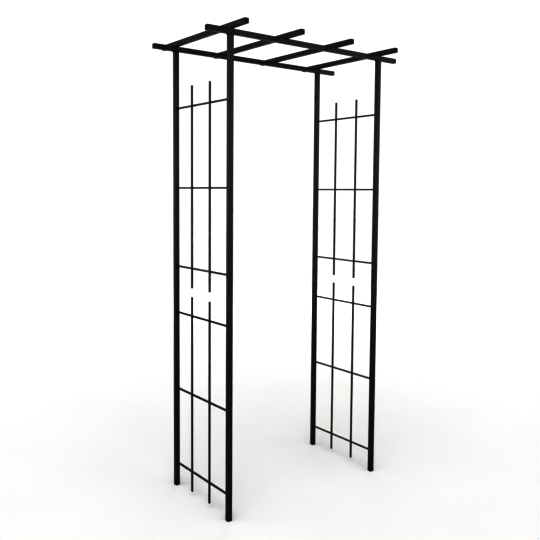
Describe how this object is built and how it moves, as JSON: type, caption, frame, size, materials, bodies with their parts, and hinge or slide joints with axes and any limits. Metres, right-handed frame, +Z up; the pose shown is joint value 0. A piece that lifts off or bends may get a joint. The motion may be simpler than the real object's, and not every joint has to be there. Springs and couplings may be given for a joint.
{
  "type": "metal trellis arch",
  "caption": "Free-standing garden arch with lattice sides of square bar between square tube posts, and an open flat roof of beams and rafters.",
  "frame": {"origin": "on the ground at the middle of the four feet", "axes": "+X across the walkway to the right as seen from the front, +Y along the walkway to the rear, +Z up"},
  "size_m": [1.118, 0.686, 2.13],
  "materials": {
    "tube_paint": "satin black powder coat on square steel tube",
    "bar_paint": "satin black powder coat on solid square steel bar",
    "cap_plastic": "black moulded polyethylene, lightly textured",
    "black_screw": "black oxide and oil",
    "zinc_steel": "bright zinc plate"
  },
  "bodies": {
    "root": {"lower_left_front_post": "tube_paint", "lower_left_front_rod": "bar_paint", "lower_left_rear_post": "tube_paint", "lower_left_rear_rod": "bar_paint", "lower_left_low_bar": "bar_paint", "lower_left_middle_bar": "bar_paint", "lower_left_high_bar": "bar_paint", "lower_right_front_post": "tube_paint", "lower_right_front_rod": "bar_paint", "lower_right_rear_post": "tube_paint", "lower_right_rear_rod": "bar_paint", "lower_right_low_bar": "bar_paint", "lower_right_middle_bar": "bar_paint", "lower_right_high_bar": "bar_paint", "upper_left_front_post": "tube_paint", "upper_left_front_rod": "bar_paint", "upper_left_rear_post": "tube_paint", "upper_left_rear_rod": "bar_paint", "upper_left_low_bar": "bar_paint", "upper_left_middle_bar": "bar_paint", "upper_left_high_bar": "bar_paint", "upper_right_front_post": "tube_paint", "upper_right_front_rod": "bar_paint", "upper_right_rear_post": "tube_paint", "upper_right_rear_rod": "bar_paint", "upper_right_low_bar": "bar_paint", "upper_right_middle_bar": "bar_paint", "upper_right_high_bar": "bar_paint", "left_front_foot_cap": "cap_plastic", "middle_left_front_connector": "zinc_steel", "top_left_front_connector": "zinc_steel", "roof_left_front_leg": "tube_paint", "left_rear_foot_cap": "cap_plastic", "middle_left_rear_connector": "zinc_steel", "top_left_rear_connector": "zinc_steel", "roof_left_rear_leg": "tube_paint", "right_front_foot_cap": "cap_plastic", "middle_right_front_connector": "zinc_steel", "top_right_front_connector": "zinc_steel", "roof_right_front_leg": "tube_paint", "right_rear_foot_cap": "cap_plastic", "middle_right_rear_connector": "zinc_steel", "top_right_rear_connector": "zinc_steel", "roof_right_rear_leg": "tube_paint", "front_beam": "tube_paint", "rear_beam": "tube_paint", "rafter_1": "tube_paint", "rafter_2": "tube_paint", "rafter_3": "tube_paint", "rafter_4": "tube_paint", "beam_end_caps": "cap_plastic", "rafter_end_caps": "cap_plastic", "middle_joint_screws": "black_screw", "middle_joint_weld_nuts": "zinc_steel", "top_joint_screws": "black_screw", "top_joint_weld_nuts": "zinc_steel", "rafter_screws": "black_screw", "beam_rivet_nuts": "zinc_steel"}
  },
  "joints": []
}
